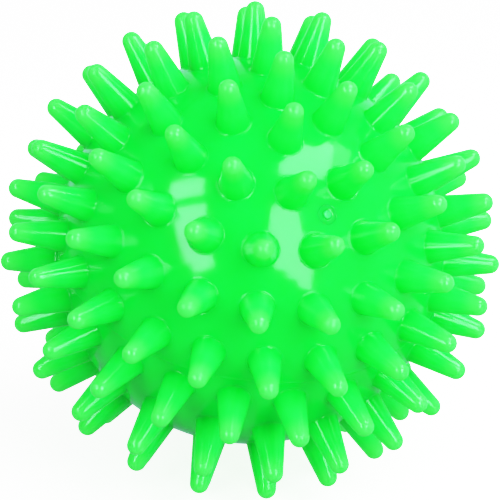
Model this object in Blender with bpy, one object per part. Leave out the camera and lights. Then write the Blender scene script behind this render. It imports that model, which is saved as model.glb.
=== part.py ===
"""Spiky massage ball: a hollow ball of soft PVC with round-tipped spikes moulded in one with its skin,
and the needle valve that it is blown up through.

The ball is moulded as two halves that meet at an equator. The spikes stand in rings round the axis
through its two poles, the mould axis, and each ring has its own latitude, count and turn.

Metres, +Z up. The ball rests on three of its spikes. The origin is on the table under its centre, and
-Y is the front, the side that the valve is on.
"""

from math import asin, cos, exp, pi, radians, sin, sqrt

import bmesh
import bpy
from mathutils import Matrix, Vector

# The ball, measured from its centre
REACH = 0.0450  # to the end of a spike
SKIN = 0.0350  # to the skin between the spikes
CAVITY = 0.0324  # to the skin's inner face

# A spike: a straight cone that ends in a ball-shaped tip
ROOT_RADIUS = 0.00300
TIP_RADIUS = 0.00172
SPIKE_SIDES = 8
SPIKE_PROFILE = (  # (distance from the ball's centre, radius)
    (SKIN, ROOT_RADIUS),
    (REACH - 0.0018, 0.00174),
    (REACH - 0.0006, 0.00118),
)

# Rings of spikes: (latitude, how many, longitude of the first), in degrees in the mould's own frame
RINGS = (
    (90.0, 1, 0.0),
    (73.8, 6, -44.6),
    (57.3, 12, -13.4),
    (40.5, 17, 3.9),
    (23.7, 20, -12.7),
    (7.5, 22, -6.5),
    (-7.5, 22, 2.9),
    (-23.7, 20, -1.9),
    (-40.5, 17, -2.6),
    (-57.3, 12, -3.2),
    (-73.8, 6, -3.2),
    (-90.0, 1, 0.0),
)
FEET = ((10, 0), (10, 1), (9, 1))  # the spikes the ball stands on: (ring, place in the ring)
TURN = radians(-95.2)  # about +Z, once it stands on them

# The valve, in a thick seat inside the skin
VALVE_LATITUDE, VALVE_LONGITUDE = 50.1, 32.9
VALVE_SIDES = 24
LAND_RADIUS = 0.0029  # the flat on the skin round the valve
DIMPLE_DEPTH, DIMPLE_SPREAD = 0.00071, 0.0050  # the shallow dimple in the skin over the seat
CLEARANCE = 0.0003  # between the seat and the valve core
CORE_RADIUS = 0.0016
COLLAR_RADIUS = 0.0026  # the collar that keeps the core in its seat
COLLAR_TOP, COLLAR_BOTTOM = 0.0317, 0.0301
CORE_END = 0.0262
SEAT_END = 0.0276
SEAT_RADIUS = 0.0040
SEAT_ROOT_RADIUS = 0.0048
RUNNING_GAP = 0.0001  # between the core and the pin
PIN_HEAD_RADIUS = 0.00074
PIN_RADIUS = 0.00050
PIN_HEAD_UNDERSIDE = 0.0334
PIN_HEAD_RIM = 0.0344
PIN_HEAD_TOP = 0.0346
PIN_END = 0.0267
DRAWN_IN = 0.0010  # how far the tips of the spikes round the valve lean towards it
DRAWN_WITHIN = radians(14.0)


def direction(latitude, longitude):
    """The unit vector at a latitude and longitude, in degrees, in the mould's own frame."""
    a, b = radians(latitude), radians(longitude)
    return Vector((cos(a) * cos(b), cos(a) * sin(b), sin(a)))


def spike_directions():
    """One list of unit vectors for each ring of spikes."""
    return [
        [direction(latitude, first + 360 * i / count) for i in range(count)]
        for latitude, count, first in RINGS
    ]


def standing():
    """The matrix that takes the mould's own frame to the ball standing on its three feet."""
    rings = spike_directions()
    a, b, c = (rings[ring][place] for ring, place in FEET)
    down = (b - a).cross(c - a).normalized()
    if down.dot(a) < 0:
        down = -down
    upright = down.rotation_difference(Vector((0, 0, -1))).to_matrix().to_4x4()
    height = (REACH - TIP_RADIUS) * down.dot(a) + TIP_RADIUS
    return Matrix.Translation((0, 0, height)) @ Matrix.Rotation(TURN, 4, "Z") @ upright


def square_to(axis):
    """Two unit vectors square to a direction and to each other."""
    u = axis.orthogonal().normalized()
    return u, axis.cross(u)


def add_ring(mesh, axis, along, radius, sides, shift=Vector()):
    """A ring of vertices round an axis through the origin, at a distance along it."""
    u, v = square_to(axis)
    turns = [2 * pi * i / sides for i in range(sides)]
    return [
        mesh.verts.new(axis * along + shift + radius * (cos(t) * u + sin(t) * v)) for t in turns
    ]


def join_rings(mesh, first, second):
    """Faces between two rings. They face away from the axis where the second is further along it."""
    for i in range(len(first)):
        j = (i + 1) % len(first)
        mesh.faces.new((first[i], first[j], second[j], second[i]))


def close_ring(mesh, ring, point):
    """A fan from a ring to one point further along its axis."""
    end = mesh.verts.new(point)
    for i in range(len(ring)):
        mesh.faces.new((ring[i], ring[(i + 1) % len(ring)], end))


def add_lathe(mesh, axis, profile, first=None):
    """Faces through rings at (along, radius), from a ring that is already there if one is given."""
    rings = [first] if first else []
    rings += [add_ring(mesh, axis, along, radius, VALVE_SIDES) for along, radius in profile]
    for lower, upper in zip(rings, rings[1:]):
        join_rings(mesh, lower, upper)
    return rings


def wrap(mesh, rings, loose):
    """A skin of triangles round rings and loose vertices on one sphere, left open inside each ring."""
    owner = {vertex: i for i, ring in enumerate(rings) for vertex in ring}
    points = [*owner, *loose]
    made = bmesh.ops.convex_hull(mesh, input=points, use_existing_faces=False)
    faces = [item for item in made["geom"] if isinstance(item, bmesh.types.BMFace)]
    lids = [
        face
        for face in faces
        if len({owner.get(vertex, -1) for vertex in face.verts}) == 1
        and owner.get(face.verts[0], -1) >= 0
    ]
    bmesh.ops.delete(mesh, geom=lids, context="FACES")


def on_sphere(radius, off_axis):
    """The distance along an axis at which a circle of this radius lies on a sphere."""
    return sqrt(radius**2 - off_axis**2)


def dimple(arc):
    """How far the skin is drawn in, at a distance along the skin from the valve's axis."""
    return DIMPLE_DEPTH * exp(-0.5 * (arc / DIMPLE_SPREAD) ** 2)


def draw_in(mesh, valve):
    """Sinks all the vertices made so far towards the ball's centre, into the dimple over the seat."""
    for vertex in mesh.verts:
        arc = SKIN * vertex.co.angle(valve)
        vertex.co *= 1 - dimple(arc) / vertex.co.length


def land_height():
    """The distance from the ball's centre to the flat round the valve, at the bottom of the dimple."""
    arc = SKIN * asin(LAND_RADIUS / SKIN)
    return on_sphere(SKIN, LAND_RADIUS) * (1 - dimple(arc) / SKIN)


def add_spike(mesh, axis, lean):
    """One spike: its first ring stays flat for the skin to meet. It leans by a shift of its end."""
    rings = []
    for along, radius in SPIKE_PROFILE:
        root = along == SKIN
        at = on_sphere(SKIN, ROOT_RADIUS) if root else along
        shift = lean * ((along - SKIN) / (REACH - SKIN))
        rings.append(add_ring(mesh, axis, at, radius, SPIKE_SIDES, shift))
    for lower, upper in zip(rings, rings[1:]):
        join_rings(mesh, lower, upper)
    close_ring(mesh, rings[-1], axis * REACH + lean)
    return rings[0]


def cavity_points(valve):
    """Vertices spread evenly over the cavity, clear of the valve's seat."""
    count, golden = 300, pi * (3 - sqrt(5))
    for i in range(count):
        height = 1 - (2 * i + 1) / count
        across = sqrt(1 - height**2)
        point = Vector((across * cos(golden * i), across * sin(golden * i), height))
        if point.angle(valve) > 1.35 * SEAT_ROOT_RADIUS / CAVITY:
            yield point * CAVITY


def build_skin(mesh):
    """The moulded skin: outer face and spikes, the cavity, and the valve's seat through the wall."""
    valve = direction(VALVE_LATITUDE, VALVE_LONGITUDE)
    roots = []
    for ring in spike_directions():
        for axis in ring:
            near = axis.angle(valve) < DRAWN_WITHIN
            towards = (valve - axis * valve.dot(axis)).normalized() if near else Vector()
            roots.append(add_spike(mesh, axis, towards * DRAWN_IN))
    land = add_ring(mesh, valve, on_sphere(SKIN, LAND_RADIUS), LAND_RADIUS, VALVE_SIDES)
    wrap(mesh, [*roots, land], [])
    draw_in(mesh, valve)

    bore, groove = CORE_RADIUS + CLEARANCE, COLLAR_RADIUS + CLEARANCE
    seat = (
        (on_sphere(CAVITY, SEAT_ROOT_RADIUS), SEAT_ROOT_RADIUS),
        (SEAT_END + 0.0028, SEAT_RADIUS + 0.0002),
        (SEAT_END, SEAT_RADIUS),
        (SEAT_END, bore),
        (COLLAR_BOTTOM - CLEARANCE, bore),
        (COLLAR_BOTTOM - CLEARANCE, groove),
        (COLLAR_TOP + CLEARANCE, groove),
        (COLLAR_TOP + CLEARANCE, bore),
        (land_height(), bore),
    )
    rings = add_lathe(mesh, valve, seat)
    join_rings(mesh, rings[-1], land)
    inside = [mesh.verts.new(point) for point in cavity_points(valve)]
    wrap(mesh, [rings[0]], inside)


def build_core(mesh):
    """The valve core: a collared plug with the needle's channel, and the pin head's seat at its top."""
    axis = Vector((0, 0, 1))
    channel, recess = PIN_RADIUS + RUNNING_GAP, PIN_HEAD_RADIUS + RUNNING_GAP
    shoulder = PIN_HEAD_UNDERSIDE - RUNNING_GAP
    face = land_height()
    profile = (
        (CORE_END, channel),
        (CORE_END, 0.00105),
        (SEAT_END - CLEARANCE, CORE_RADIUS),
        (COLLAR_BOTTOM, CORE_RADIUS),
        (COLLAR_BOTTOM, COLLAR_RADIUS),
        (COLLAR_TOP, COLLAR_RADIUS),
        (COLLAR_TOP, CORE_RADIUS),
        (face, CORE_RADIUS),
        (face, recess),
        (shoulder, recess),
        (shoulder, channel),
    )
    rings = add_lathe(mesh, axis, profile)
    join_rings(mesh, rings[-1], rings[0])


def build_pin(mesh):
    """The pin that closes the valve: a slim shank and a low round head."""
    axis = Vector((0, 0, 1))
    profile = (
        (PIN_END + 0.0003, 0.7 * PIN_RADIUS),
        (PIN_END + 0.0008, PIN_RADIUS),
        (PIN_HEAD_UNDERSIDE, PIN_RADIUS),
        (PIN_HEAD_UNDERSIDE, PIN_HEAD_RADIUS),
        (PIN_HEAD_RIM, PIN_HEAD_RADIUS),
        (PIN_HEAD_TOP - 0.00004, 0.6 * PIN_HEAD_RADIUS),
    )
    rings = add_lathe(mesh, axis, profile)
    close_ring(mesh, rings[-1], (0, 0, PIN_HEAD_TOP))
    close_ring(mesh, rings[0][::-1], (0, 0, PIN_END))


def make_material(name, colour, roughness, coat):
    """A plain material of one colour, with a clear gloss coat."""
    material = bpy.data.materials.new(name)
    material.use_nodes = True
    shader = material.node_tree.nodes["Principled BSDF"]
    shader.inputs["Base Color"].default_value = (*colour, 1.0)
    shader.inputs["Roughness"].default_value = roughness
    shader.inputs["Metallic"].default_value = 0.0
    shader.inputs["Coat Weight"].default_value = coat
    material.diffuse_color = (*colour, 1.0)
    return material


def add_piece(name, build, placed, material, smooth_up_to):
    """One named object, built by its own function, facing outwards and shaded smooth."""
    shape = bmesh.new()
    build(shape)
    bmesh.ops.recalc_face_normals(shape, faces=shape.faces)
    mesh = bpy.data.meshes.new(name)
    shape.to_mesh(mesh)
    shape.free()
    mesh.materials.append(material)
    mesh.shade_smooth()
    mesh.set_sharp_from_angle(angle=radians(smooth_up_to))
    piece = bpy.data.objects.new(name, mesh)
    piece.matrix_world = placed
    bpy.context.scene.collection.objects.link(piece)
    return piece


def main():
    for old in list(bpy.data.objects):
        bpy.data.objects.remove(old)
    skin_green = make_material("skin_pvc", (0.010, 0.720, 0.045), 0.22, 0.5)
    core_green = make_material("valve_rubber", (0.020, 0.600, 0.060), 0.40, 0.0)
    pin_pale = make_material("pin_plastic", (0.300, 0.850, 0.420), 0.30, 0.2)

    ball = standing()
    valve = direction(VALVE_LATITUDE, VALVE_LONGITUDE)
    along_valve = ball @ valve.to_track_quat("Z", "Y").to_matrix().to_4x4()
    add_piece("ball_skin", build_skin, ball, skin_green, 50)
    add_piece("valve_core", build_core, along_valve, core_green, 40)
    add_piece("valve_pin", build_pin, along_valve, pin_pale, 40)


main()
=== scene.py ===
"""Looks of the spiky massage ball: one continuous moulded skin with its spikes, base rings and
parting line, the valve core and its closing pin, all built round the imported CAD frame.

Lengths are in metres and angles in degrees, unless a name or a comment says otherwise."""

from math import cos, pi, radians, sin, sqrt

import bmesh
import bpy
import numpy as np
from mathutils import Matrix, Vector
from mathutils.geometry import delaunay_2d_cdt


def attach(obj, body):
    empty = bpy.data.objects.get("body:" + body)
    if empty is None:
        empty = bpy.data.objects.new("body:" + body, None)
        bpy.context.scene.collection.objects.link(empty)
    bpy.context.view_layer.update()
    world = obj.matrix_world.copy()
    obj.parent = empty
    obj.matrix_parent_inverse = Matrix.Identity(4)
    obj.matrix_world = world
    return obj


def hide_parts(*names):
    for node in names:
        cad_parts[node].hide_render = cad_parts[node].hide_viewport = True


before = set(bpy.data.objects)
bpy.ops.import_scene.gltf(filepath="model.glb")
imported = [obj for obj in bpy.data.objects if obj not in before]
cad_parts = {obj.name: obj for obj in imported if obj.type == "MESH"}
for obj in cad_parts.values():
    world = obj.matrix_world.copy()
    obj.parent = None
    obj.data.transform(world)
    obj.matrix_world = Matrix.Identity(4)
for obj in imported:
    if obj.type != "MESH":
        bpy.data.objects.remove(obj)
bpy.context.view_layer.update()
MM = 0.001

# ---------------------------------------------------------------- driving sizes, as in the CAD
REACH, SKIN, CAVITY = 45.0 * MM, 35.0 * MM, 32.4 * MM  # radii of the tips, the skin and the hollow
TIP_RADIUS = 1.72 * MM
RINGS = (  # each ring of spikes: its latitude, how many, and the longitude of the first
    (90.0, 1, 0.0),
    (73.8, 6, -44.6),
    (57.3, 12, -13.4),
    (40.5, 17, 3.9),
    (23.7, 20, -12.7),
    (7.5, 22, -6.5),
    (-7.5, 22, 2.9),
    (-23.7, 20, -1.9),
    (-40.5, 17, -2.6),
    (-57.3, 12, -3.2),
    (-73.8, 6, -3.2),
    (-90.0, 1, 0.0),
)
FEET = ((10, 0), (10, 1), (9, 1))  # the spikes it stands on, as (ring, place in the ring)
TURN = radians(-95.2)  # about the upright, once it stands
VALVE = (50.1, 32.9)  # latitude and longitude
LAND_RADIUS = 2.9 * MM  # where the skin meets the flat round the valve
DIMPLE_DEPTH, DIMPLE_SPREAD = 0.71 * MM, 5.0 * MM
DRAWN_IN, DRAWN_WITHIN = 1.0 * MM, radians(14.0)  # how far spikes near the valve lean, and which
FACE = SKIN - DIMPLE_DEPTH  # where the valve's flat lies, from the ball's centre

# ---------------------------------------------------------------- how finely the meshes are made
SPIKE_SIDES, VALVE_SIDES, WAIST_SIDES = 24, 48, 120
SEAM_COLUMNS = 540
SKIN_POINTS, CAVITY_POINTS = 9000, 1400  # before the ones in the way are taken out
ROOT_RING = 3.45 * MM  # where a spike's own rings of vertices start on the skin
SEAT_ROOT = 4.8 * MM  # where the valve's seat grows out of the cavity's wall
# how far the points in between keep off the rings, the seat, the parting line and the waist, which
# is the cavity's own row of points on the equator
RING_MARGIN, SEAT_MARGIN, SEAM_MARGIN = radians(0.7), radians(2.0), radians(1.35)
WAIST_MARGIN = 0.03  # as a share of the cavity's radius
ON_EQUATOR = MERGE = 1e-9  # what counts as on the equator, and as one point when triangulating
POLE = np.array((0.0, 0.0, 1.0))


def unit(v):
    return v / np.linalg.norm(v)


def unit_rows(points):
    return points / np.linalg.norm(points, axis=1)[:, None]


def direction(latitude, longitude):
    a, b = radians(latitude), radians(longitude)
    return np.array((cos(a) * cos(b), cos(a) * sin(b), sin(a)))


def spike_directions():
    return [
        [direction(latitude, first + 360 * i / count) for i in range(count)]
        for latitude, count, first in RINGS
    ]


def standing():
    """The matrix that takes the ball from its mould's frame to standing on its three feet."""
    rings = spike_directions()
    a, b, c = (Vector(rings[ring][place]) for ring, place in FEET)
    down = (b - a).cross(c - a).normalized()
    if down.dot(a) < 0:
        down = -down
    upright = down.rotation_difference(Vector((0, 0, -1))).to_matrix().to_4x4()
    height = (REACH - TIP_RADIUS) * down.dot(a) + TIP_RADIUS
    return Matrix.Translation((0, 0, height)) @ Matrix.Rotation(TURN, 4, "Z") @ upright


def square_to(axis):
    """Two directions that make a right-handed set with the axis, which comes last."""
    u = np.array(Vector(axis).orthogonal().normalized())
    return u, np.cross(axis, u)


def ring_of(axis, along, radius, sides, shift=0.0):
    """Points of a circle round an axis through the ball's centre, moved sideways by the shift."""
    u, v = square_to(axis)
    t = 2 * pi * np.arange(sides)[:, None] / sides
    return axis * along + shift + radius * (np.cos(t) * u + np.sin(t) * v)


def on_sphere(radius, off_axis):
    return sqrt(radius**2 - off_axis**2)


def dimple(off_axis):
    """How far the skin is drawn in at a distance from the valve's axis, over the thick seat."""
    return DIMPLE_DEPTH * np.exp(-0.5 * (off_axis / DIMPLE_SPREAD) ** 2)


def drawn_in(points, valve):
    """The points with the dimple pressed into them, towards the ball's centre."""
    away = np.linalg.norm(points, axis=1)[:, None]
    off_axis = SKIN * np.arccos(np.clip(points @ valve / away[:, 0], -1, 1))
    return points * (1 - dimple(off_axis)[:, None] / away)


def fibonacci(count):
    """Points spread evenly over the unit sphere."""
    i = np.arange(count)
    height = 1 - (2 * i + 1) / count
    across = np.sqrt(1 - height**2)
    turn = i * pi * (3 - sqrt(5))
    return np.stack([across * np.cos(turn), across * np.sin(turn), height], 1)


# ---------------------------------------------------------------- a mesh put together from parts
class Shape:
    """Points and faces. A ring is its points' indices, anticlockwise seen from further out."""

    def __init__(self):
        self.points, self.faces, self.count = [], [], 0

    def add(self, points):
        """Adds points and returns their indices."""
        first = self.count
        self.points.append(np.asarray(points, float))
        self.count += len(points)
        return np.arange(first, self.count)

    def bend(self, change):
        """Moves every point made so far."""
        self.points = [change(np.concatenate(self.points))]

    def turn(self, matrix):
        rotation = np.array(matrix.to_3x3())
        self.bend(lambda points: points @ rotation.T)

    def join(self, lower, upper):
        """Faces between two rings. They face away from the axis where the upper ring is further
        along it, and towards the axis where it is nearer."""
        nl, nu = np.roll(lower, -1), np.roll(upper, -1)
        self.faces += np.stack([lower, nl, nu, upper], 1).tolist()

    def fan(self, ring, point):
        """Closes the far end of a ring on one point."""
        end = int(self.add([point])[0])
        self.faces += [[int(a), int(b), end] for a, b in zip(ring, np.roll(ring, -1))]

    def lathe(self, axis, profile, sides, first=None):
        """Rings for a profile of (along the axis, radius), joined in order from the first."""
        rings = [] if first is None else [first]
        rings += [self.add(ring_of(axis, along, radius, sides)) for along, radius in profile]
        for lower, upper in zip(rings, rings[1:]):
            self.join(lower, upper)
        return rings

    def wrap(self, index, rings, inward=False):
        """Triangles between points that lie on one sphere, left open inside each ring of them. Each
        half, down to the equator's own row of points, is opened out flat so that circles stay
        circles."""
        every = np.concatenate(self.points)
        owner = np.full(self.count, -1)
        for number, ring in enumerate(rings):
            owner[ring] = number
        for side in (1, -1):
            here = index[every[index, 2] * side > -ON_EQUATOR]
            away = unit_rows(every[here])
            flat = away[:, :2] / (1 + np.abs(away[:, 2:]))
            made = delaunay_2d_cdt([Vector(p) for p in flat], [], [], 0, MERGE)
            source = np.array([origin[0] for origin in made[3]])
            corners = here[source[np.array(made[2])]]
            owners = owner[corners]
            lid = (owners[:, 0] >= 0) & (owners == owners[:, :1]).all(1)
            corners = corners[~lid]
            a, b, c = (every[corners[:, k]] for k in range(3))
            outward = (np.cross(b - a, c - a) * a).sum(1) > 0
            turned = outward == inward
            corners[turned] = corners[turned][:, ::-1]
            self.faces += corners.tolist()

    def make(self, name):
        mesh = bpy.data.meshes.new(name)
        mesh.from_pydata(np.concatenate(self.points).tolist(), [], self.faces)
        mesh.validate()
        mesh.update()
        return bpy.data.objects.new(name, mesh)


# ---------------------------------------------------------------- the moulded skin
def spike_profile():
    """(distance along the spike's axis, radius): base ring, root fillet, cone and rounded tip."""
    foot = (  # (radius, rise over the skin) in mm
        (3.38, 0.000),
        (3.33, 0.022),
        (3.28, 0.055),
        (3.22, 0.058),
        (3.17, 0.030),
        (3.12, 0.018),
        (3.06, 0.055),
        (3.00, 0.150),
        (2.955, 0.300),
        (2.915, 0.560),
    )
    rings = [(on_sphere(SKIN, r * MM) + rise * MM, r * MM) for r, rise in foot]
    cone_end, end_radius, slope = 43.0, 1.78, 0.150
    for along in (36.6, 38.4, 40.2, 41.8, cone_end):
        rings.append((along * MM, (end_radius + slope * (cone_end - along)) * MM))
    for turn in (9, 21, 33, 45, 57, 69, 80):
        a = radians(turn)
        rings.append((REACH - TIP_RADIUS + TIP_RADIUS * sin(a), TIP_RADIUS * cos(a)))
    return rings


def build_skin(shape):
    """The whole moulding in the mould's frame: spikes, skin, parting bead, seat and cavity."""
    valve = direction(*VALVE)
    profile = spike_profile()
    roots, axes = [], []
    for ring in spike_directions():
        for axis in ring:
            lean = np.zeros(3)
            if np.arccos(min(1.0, axis @ valve)) < DRAWN_WITHIN:
                lean = unit(valve - axis * (axis @ valve)) * DRAWN_IN
            root = shape.add(ring_of(axis, on_sphere(SKIN, ROOT_RING), ROOT_RING, SPIKE_SIDES))
            rings = [root]
            for along, radius in profile:
                shift = lean * max(0.0, (along - SKIN) / (REACH - SKIN))
                rings.append(shape.add(ring_of(axis, along, radius, SPIKE_SIDES, shift)))
            for lower, upper in zip(rings, rings[1:]):
                shape.join(lower, upper)
            shape.fan(rings[-1], axis * REACH + lean)
            roots.append(root)
            axes.append(axis)
    axes = np.array(axes)

    # the skin between the spikes, with the parting line as a fine bead on the equator
    land = shape.add(ring_of(valve, on_sphere(SKIN, LAND_RADIUS), LAND_RADIUS, VALVE_SIDES))
    fill = fibonacci(SKIN_POINTS)
    clear = (fill @ axes.T).max(1) < cos(ROOT_RING / SKIN + RING_MARGIN)
    clear &= fill @ valve < cos(LAND_RADIUS / SKIN + RING_MARGIN)
    clear &= np.abs(fill[:, 2]) > sin(SEAM_MARGIN)
    loose = [shape.add(fill[clear] * SKIN)]
    for latitude, rise, columns in (  # the rise is in mm
        (0.0, 0.110, SEAM_COLUMNS),
        (0.17, 0.070, SEAM_COLUMNS),
        (-0.17, 0.070, SEAM_COLUMNS),
        (0.34, 0.0, SEAM_COLUMNS),
        (-0.34, 0.0, SEAM_COLUMNS),
        (0.80, 0.0, SEAM_COLUMNS // 2),
        (-0.80, 0.0, SEAM_COLUMNS // 2),
    ):
        t = 2 * pi * (np.arange(columns) + 0.5 * (latitude != 0)) / columns
        a = radians(latitude)
        row = np.stack([cos(a) * np.cos(t), cos(a) * np.sin(t), np.full(columns, sin(a))], 1)
        loose.append(shape.add(row * (SKIN + rise * MM)))
    shape.wrap(np.concatenate([*roots, land, *loose]), [*roots, land])
    shape.bend(lambda points: drawn_in(points, valve))

    # from the flat round the valve down its bore, with the groove for the core's collar, and back
    # up round the thick seat to the cavity
    bore, groove = 1.72 * MM, 2.75 * MM
    seat = [
        (FACE, 2.5 * MM),
        (FACE, 2.05 * MM),
        (FACE, bore + 0.05 * MM),
        (FACE, bore + 0.03 * MM),
        (FACE - 0.008 * MM, bore + 0.008 * MM),
        (FACE - 0.03 * MM, bore),
        (FACE - 2.35 * MM, bore),
        (FACE - 2.35 * MM, groove),
        (FACE - 4.35 * MM, groove),
        (FACE - 4.35 * MM, bore),
        (FACE - 6.45 * MM, bore),
        (FACE - 6.6 * MM, 1.85 * MM),
        (FACE - 6.6 * MM, 3.80 * MM),
        (FACE - 6.3 * MM, 4.05 * MM),
        (FACE - 3.9 * MM, 4.25 * MM),
        (on_sphere(CAVITY, SEAT_ROOT), SEAT_ROOT),
    ]
    seat_root = shape.lathe(valve, seat, VALVE_SIDES, first=land)[-1]

    # the cavity
    inner = fibonacci(CAVITY_POINTS)
    clear = inner @ valve < cos(SEAT_ROOT / CAVITY + SEAT_MARGIN)
    clear &= np.abs(inner[:, 2]) > WAIST_MARGIN
    inner = inner[clear]
    waist = ring_of(POLE, 0.0, CAVITY, WAIST_SIDES)
    inside = shape.add(np.concatenate([inner * CAVITY, waist]))
    shape.wrap(np.concatenate([seat_root, inside]), [seat_root], inward=True)


# ---------------------------------------------------------------- the valve's two pieces
def build_core(shape):
    """The soft plug: rounded rim, collar, tapered inner end, and the channel for needle and pin."""
    profile = [
        (FACE - 7.95 * MM, 0.62 * MM),
        (FACE - 8.00 * MM, 0.72 * MM),
        (FACE - 8.00 * MM, 0.95 * MM),
        (FACE - 7.85 * MM, 1.10 * MM),
        (FACE - 6.90 * MM, 1.60 * MM),
        (FACE - 4.20 * MM, 1.64 * MM),
        (FACE - 4.20 * MM, 2.45 * MM),
        (FACE - 4.05 * MM, 2.62 * MM),
        (FACE - 2.60 * MM, 2.62 * MM),
        (FACE - 2.45 * MM, 2.45 * MM),
        (FACE - 2.45 * MM, 1.69 * MM),
        (FACE - 0.05 * MM, 1.69 * MM),
        (FACE - 0.02 * MM, 1.68 * MM),
        (FACE - 0.01 * MM, 1.66 * MM),
        (FACE - 0.01 * MM, 1.64 * MM),
        (FACE - 0.01 * MM, 1.20 * MM),
        (FACE - 0.02 * MM, 0.86 * MM),
        (FACE - 0.05 * MM, 0.82 * MM),
        (FACE - 0.09 * MM, 0.81 * MM),
        (FACE - 0.90 * MM, 0.81 * MM),
        (FACE - 0.90 * MM, 0.62 * MM),
    ]
    rings = shape.lathe(POLE, profile, VALVE_SIDES)
    shape.join(rings[-1], rings[0])


def build_pin(shape):
    """The closing pin: a domed head with a rolled edge on a slim shank with a rounded end."""
    profile = [
        (FACE - 7.47 * MM, 0.18 * MM),
        (FACE - 7.38 * MM, 0.32 * MM),
        (FACE - 7.20 * MM, 0.43 * MM),
        (FACE - 6.70 * MM, 0.50 * MM),
        (FACE - 1.00 * MM, 0.50 * MM),
        (FACE - 0.88 * MM, 0.53 * MM),
        (FACE - 0.84 * MM, 0.62 * MM),
        (FACE - 0.80 * MM, 0.71 * MM),
        (FACE - 0.72 * MM, 0.74 * MM),
        (FACE + 0.10 * MM, 0.74 * MM),
        (FACE + 0.20 * MM, 0.72 * MM),
        (FACE + 0.27 * MM, 0.64 * MM),
        (FACE + 0.31 * MM, 0.48 * MM),
        (FACE + 0.33 * MM, 0.25 * MM),
    ]
    rings = shape.lathe(POLE, profile, VALVE_SIDES)
    shape.fan(rings[-1], (0, 0, FACE + 0.34 * MM))
    shape.fan(rings[0][::-1], (0, 0, FACE - 7.50 * MM))


# ---------------------------------------------------------------- materials
SCATTER = (0.25, 1.0, 0.35)  # how far each colour of light spreads in the green plastic
GREENISH = (0.66, 1.0, 1.0, 1.0)  # its reflections hold a little less red than the lights


def new_material(name):
    material = bpy.data.materials.new(name)
    material.use_nodes = True
    tree = material.node_tree
    return material, tree, tree.nodes["Principled BSDF"]


def add_node(tree, kind, **values):
    """A node with its properties and unlinked inputs set by name (spaces as underscores)."""
    node = tree.nodes.new(kind)
    for key, value in values.items():
        if hasattr(node, key):
            setattr(node, key, value)
        else:
            node.inputs[key.replace("_", " ")].default_value = value
    return node


def set_all(shader, **values):
    for key, value in values.items():
        shader.inputs[key.replace("_", " ")].default_value = value


def noise(tree, vector, scale, detail=2.0, roughness=0.5):
    node = add_node(tree, "ShaderNodeTexNoise", Scale=scale, Detail=detail, Roughness=roughness)
    tree.links.new(vector, node.inputs["Vector"])
    return node.outputs["Fac"]


def remap(tree, value, low, high, to_low, to_high, smooth=False):
    node = add_node(tree, "ShaderNodeMapRange")
    node.interpolation_type = "SMOOTHSTEP" if smooth else "LINEAR"
    ends = {"From Min": low, "From Max": high, "To Min": to_low, "To Max": to_high}
    for key, number in ends.items():
        node.inputs[key].default_value = number
    tree.links.new(value, node.inputs["Value"])
    return node.outputs["Result"]


def blend_colours(tree, factor, first, second):
    """A mix of two colours, each either a red, green, blue triple or another node's output."""
    node = tree.nodes.new("ShaderNodeMix")
    node.data_type = "RGBA"
    tree.links.new(factor, node.inputs[0])
    for socket, colour in ((node.inputs[6], first), (node.inputs[7], second)):
        if isinstance(colour, tuple):
            socket.default_value = (*colour, 1.0)
        else:
            tree.links.new(colour, socket)
    return node.outputs[2]


def pvc_material():
    """Soft, glossy, slightly see-through green PVC, with a faint mottle from the moulding and a
    fine orange-peel on the gloss. Its colour holds painted light: lighter up each spike and paler
    still at the thin tips, for the light gathered in them."""
    material, tree, shader = new_material("soft_pvc_green")
    where = add_node(tree, "ShaderNodeTexCoord").outputs["Object"]
    length = add_node(tree, "ShaderNodeVectorMath", operation="LENGTH")
    tree.links.new(where, length.inputs[0])
    out = length.outputs["Value"]

    # painted light: the colour pales towards the tips, for the light gathered in them
    painted_tip_light = remap(tree, out, 40.0 * MM, 44.5 * MM, 0.0, 1.0, smooth=True)
    mottle = noise(tree, where, 55.0, 3.0)
    skin = blend_colours(tree, mottle, (0.0020, 0.67, 0.029), (0.0030, 0.73, 0.034))
    # painted light: the colour lightens up each spike, for the light that comes through it from all
    # round
    painted_spike_light = remap(tree, out, 35.5 * MM, 38.5 * MM, 0.0, 1.0)
    spike = blend_colours(tree, painted_spike_light, skin, (0.0085, 0.84, 0.055))
    colour = blend_colours(tree, painted_tip_light, spike, (0.048, 0.85, 0.078))
    tree.links.new(colour, shader.inputs["Base Color"])

    gloss = remap(tree, noise(tree, where, 900.0, 2.0), 0.3, 0.7, 0.09, 0.13)
    tree.links.new(gloss, shader.inputs["Roughness"])

    peel = noise(tree, where, 260.0, 2.0)
    bump = add_node(tree, "ShaderNodeBump", Strength=0.06, Distance=0.0004)
    tree.links.new(peel, bump.inputs["Height"])
    tree.links.new(bump.outputs["Normal"], shader.inputs["Normal"])
    set_all(shader, Subsurface_Weight=1.0, Subsurface_Scale=0.003, IOR=1.5)
    set_all(shader, Subsurface_Radius=SCATTER, Specular_Tint=GREENISH)
    return material


def rubber_material():
    """The valve core: satin soft rubber of nearly the ball's green, with a fine grain."""
    material, tree, shader = new_material("valve_core_rubber")
    where = add_node(tree, "ShaderNodeTexCoord").outputs["Object"]
    grain = noise(tree, where, 1600.0, 3.0)
    colour = blend_colours(tree, grain, (0.0018, 0.67, 0.027), (0.0028, 0.73, 0.032))
    tree.links.new(colour, shader.inputs["Base Color"])
    tree.links.new(remap(tree, grain, 0.3, 0.7, 0.14, 0.20), shader.inputs["Roughness"])
    bump = add_node(tree, "ShaderNodeBump", Strength=0.15, Distance=0.0001)
    tree.links.new(grain, bump.inputs["Height"])
    tree.links.new(bump.outputs["Normal"], shader.inputs["Normal"])
    set_all(shader, Subsurface_Weight=1.0, Subsurface_Scale=0.003, IOR=1.5)
    set_all(shader, Subsurface_Radius=SCATTER, Specular_Tint=GREENISH, Specular_IOR_Level=0.4)
    return material


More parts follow.
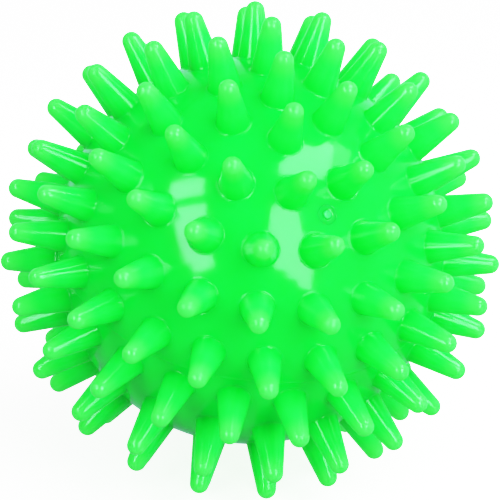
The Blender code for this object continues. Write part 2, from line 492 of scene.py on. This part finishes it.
def pin_material():
    """The pin: smooth milky plastic, faintly green from the ball's light."""
    material, tree, shader = new_material("valve_pin_plastic")
    where = add_node(tree, "ShaderNodeTexCoord").outputs["Object"]
    cloud = noise(tree, where, 1100.0, 2.0)
    colour = blend_colours(tree, cloud, (0.014, 0.72, 0.078), (0.022, 0.78, 0.096))
    tree.links.new(colour, shader.inputs["Base Color"])
    tree.links.new(remap(tree, cloud, 0.3, 0.7, 0.24, 0.34), shader.inputs["Roughness"])
    set_all(shader, Subsurface_Weight=0.3, Subsurface_Scale=0.002, IOR=1.5)
    set_all(shader, Specular_Tint=GREENISH)
    return material


def floor_material():
    """Nearly white and matt, with light of its own, so that the ball's shadow stays faint."""
    material, tree, shader = new_material("pale_floor")
    where = add_node(tree, "ShaderNodeTexCoord").outputs["Object"]
    cloud = noise(tree, where, 6.0, 4.0)
    colour = blend_colours(tree, cloud, (0.86, 0.86, 0.86), (0.89, 0.89, 0.89))
    tree.links.new(colour, shader.inputs["Base Color"])
    set_all(shader, Roughness=0.6, Specular_IOR_Level=0.2, Emission_Strength=1.15)
    return material


# ---------------------------------------------------------------- pieces on the frame
def add_piece(name, build, placed, material, node, body, sharp):
    """Builds a piece in its own frame, places it and has it stand in for its CAD node."""
    shape = Shape()
    build(shape)
    shape.turn(placed)
    piece = shape.make(name)
    piece.data.materials.append(material)
    piece.data.shade_smooth()
    piece.data.set_sharp_from_angle(angle=radians(sharp))
    bpy.context.scene.collection.objects.link(piece)
    piece.location = placed.translation
    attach(piece, body)
    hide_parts(node)
    return piece


ball = standing()
along_valve = ball @ Vector(direction(*VALVE)).to_track_quat("Z", "Y").to_matrix().to_4x4()
pvc, rubber, plastic = pvc_material(), rubber_material(), pin_material()
add_piece("moulded_skin", build_skin, ball, pvc, "ball_skin", "ball", 60)
add_piece("needle_core", build_core, along_valve, rubber, "valve_core", "ball", 40)
add_piece("closing_pin", build_pin, along_valve, plastic, "valve_pin", "pin", 50)

# ---------------------------------------------------------------- stage, light and camera
centre = ball.translation.copy()


def stage_floor(half_width):
    """A pale floor that stays level and plain a long way out. Only the camera sees it."""
    mesh = bpy.data.meshes.new("floor")
    grid = bmesh.new()
    bmesh.ops.create_grid(grid, x_segments=8, y_segments=8, size=half_width)
    grid.to_mesh(mesh)
    grid.free()
    mesh.materials.append(floor_material())
    floor = bpy.data.objects.new("floor", mesh)
    bpy.context.scene.collection.objects.link(floor)
    floor.visible_glossy = floor.visible_diffuse = floor.visible_shadow = False


def looking(azimuth, elevation):
    """The unit vector from the ball towards a viewer: azimuth 0 is the front, 90 the right."""
    a, e = radians(azimuth), radians(elevation)
    return Vector((sin(a) * cos(e), -cos(a) * cos(e), sin(e)))


def softbox(name, facing, upward, across, along, distance, radiance):
    """A rectangular softbox. facing is the direction it is seen in from the ball and upward the way
    its sides run; across and along are its two ends each way, as shares of the distance."""
    z = Vector(facing).normalized()
    y = (Vector(upward) - z * z.dot(Vector(upward))).normalized()
    x = y.cross(z)
    data = bpy.data.lights.new(name, "AREA")
    data.shape = "RECTANGLE"
    data.size, data.size_y = (across[1] - across[0]) * distance, (along[1] - along[0]) * distance
    data.energy = radiance * pi * data.size * data.size_y
    lamp = bpy.data.objects.new(name, data)
    lamp.rotation_mode = "QUATERNION"
    lamp.rotation_quaternion = Matrix((x, y, z)).transposed().to_quaternion()
    lamp.location = centre + distance * (z + x * sum(across) / 2 + y * sum(along) / 2)
    bpy.context.scene.collection.objects.link(lamp)
    return lamp


def studio_world(above, below, front, low_back, back, side, background):
    """Soft fill from above and, as the floor gives none, from below. In the gloss the studio is dim
    in front, less so towards the floor, and bright behind, less so low down, with a pale wall on
    the right. Past the floor the camera sees the white background.

    front is how bright the front is low down and from the horizon up; low_back and back say the
    same of what lies behind."""
    world = bpy.data.worlds.new("studio")
    bpy.context.scene.world = world
    world.use_nodes = True
    tree = world.node_tree
    shade = tree.nodes["Background"]
    path = tree.nodes.new("ShaderNodeLightPath")
    direction_of = tree.nodes.new("ShaderNodeTexCoord").outputs["Generated"]
    towards_back = add_node(tree, "ShaderNodeVectorMath", operation="DOT_PRODUCT")
    towards_back.inputs[1].default_value = BACKDROP_LIES
    parts_of = add_node(tree, "ShaderNodeSeparateXYZ")
    for node in (towards_back, parts_of):
        tree.links.new(direction_of, node.inputs[0])
    x, z = parts_of.outputs["X"], parts_of.outputs["Z"]

    far = remap(tree, z, -0.75, 0.05, low_back, back)
    near = remap(tree, z, -0.6, -0.1, *front)
    backdrop = remap(tree, towards_back.outputs["Value"], 0.40, 0.95, 0.0, 1.0, smooth=True)
    tree.links.new(near, backdrop.node.inputs["To Min"])
    tree.links.new(far, backdrop.node.inputs["To Max"])
    wall = remap(tree, x, 0.57, 0.63, 0.0, side, smooth=True)
    mirrored = add_node(tree, "ShaderNodeMath", operation="ADD")
    tree.links.new(backdrop, mirrored.inputs[0])
    tree.links.new(wall, mirrored.inputs[1])
    fill = remap(tree, z, -0.4, 0.4, below, above, smooth=True)

    def choose(when, otherwise, then):
        node = tree.nodes.new("ShaderNodeMix")
        tree.links.new(when, node.inputs[0])
        for socket, value in ((node.inputs[2], otherwise), (node.inputs[3], then)):
            if isinstance(value, float):
                socket.default_value = value
            else:
                tree.links.new(value, socket)
        return node.outputs[0]

    glossy, seen = path.outputs["Is Glossy Ray"], path.outputs["Is Camera Ray"]
    strength = choose(seen, choose(glossy, fill, mirrored.outputs[0]), background)
    tree.links.new(strength, shade.inputs["Strength"])
    colour = blend_colours(tree, glossy, (1.0, 1.0, 1.0), STUDIO_TINT)
    tree.links.new(colour, shade.inputs["Color"])


BACKDROP_LIES = (0.0, 0.94, -0.34)  # the way to the middle of the bright backdrop
STUDIO_TINT = (0.55, 1.0, 1.0)  # the studio's colour in the gloss
# each softbox's place: the direction it is seen in from the ball, and the way its sides run
LEFT = ((-0.561, -0.400, 0.725), (0.148, 0.813, 0.562))
RIGHT = ((0.366, -0.925, 0.108), (0.192, 0.189, 0.963))
UPPER_RIGHT = ((0.500, -0.190, 0.845), (0.000, 0.975, 0.220))
ABOVE = ((0.30, -0.50, 0.80), (0.0, 0.8, 0.6))
SIDE = ((0.85, -0.40, 0.30), (0.0, 0.0, 1.0))
BRIGHT, MIDDLING, DIM = 8.2, 7.6, 2.8
NEAR, FAR = 0.8, 1.0  # how far off the softboxes and the fills stand

stage_floor(half_width=3.0)
studio_world(
    above=0.35, below=0.80, front=(0.25, 0.12), low_back=0.2, back=1.1, side=0.30, background=4.0
)
for side, facing, radiance, strips in (
    ("left", LEFT, BRIGHT, (((-0.165, 0.165), (-0.085, 0.09)), ((-0.135, 0.20), (-0.85, -0.17)))),
    ("left_corner", LEFT, BRIGHT, (((-0.06, 0.24), (-1.04, -0.85)),)),
    ("right", RIGHT, MIDDLING, (((-0.19, 0.27), (0.30, 0.74)), ((-0.13, 0.27), (0.03, 0.30)))),
    (
        "right_corner",
        RIGHT,
        MIDDLING,
        (((0.00, 0.27), (-0.04, 0.03)), ((0.13, 0.27), (-0.11, -0.04))),
    ),
    (
        "upper",
        UPPER_RIGHT,
        MIDDLING,
        (((-0.235, 0.05), (-0.23, 0.18)), ((0.05, 0.20), (-0.23, 0.33))),
    ),
    ("upper_edge", UPPER_RIGHT, DIM, (((0.20, 0.36), (-0.20, 0.40)),)),
):
    for across, along in strips:
        softbox("softbox_" + side, *facing, across, along, NEAR, radiance)
for name, facing, radiance in (("fill_above", ABOVE, 3.4), ("fill_right", SIDE, 2.4)):
    fill = softbox(name, *facing, (-0.5, 0.5), (-0.5, 0.5), FAR, radiance)
    fill.visible_glossy = False

CAMERA_HEIGHT, CAMERA_DISTANCE, LENS = 20.08, 0.600, 239.0  # degrees up, metres, mm
camera = bpy.data.cameras.new("camera")
camera.sensor_width = 36.0
camera.lens = LENS
camera.clip_start, camera.clip_end = 0.05, 20.0
view = bpy.data.objects.new("camera", camera)
bpy.context.scene.collection.objects.link(view)
back = looking(0.0, CAMERA_HEIGHT)
view.rotation_mode = "QUATERNION"
view.rotation_quaternion = back.to_track_quat("Z", "Y")
view.location = centre + back * CAMERA_DISTANCE
bpy.context.scene.camera = view


def film_response(points):
    """The picture keeps shadows and middle tones as they are and rolls off softly towards white.
    The points are (light, how bright it shows), and the last one's light is what shows as white."""
    white = points[-1][0]
    settings = bpy.context.scene.view_settings
    settings.view_transform = "Standard"
    settings.use_curve_mapping = True
    mapping = settings.curve_mapping
    mapping.black_level = (0.0, 0.0, 0.0)
    mapping.white_level = (white, white, white)
    curve = mapping.curves[3]
    while len(curve.points) < len(points):
        curve.points.new(0.5, 0.5)
    for point, (light, shown) in zip(curve.points, points):
        point.location = (light / white, shown)
    mapping.update()


film_response(
    ((0.0, 0.0), (0.35, 0.35), (0.75, 0.71), (1.1, 0.86), (1.6, 0.95), (2.4, 0.995), (4.0, 1.0))
)
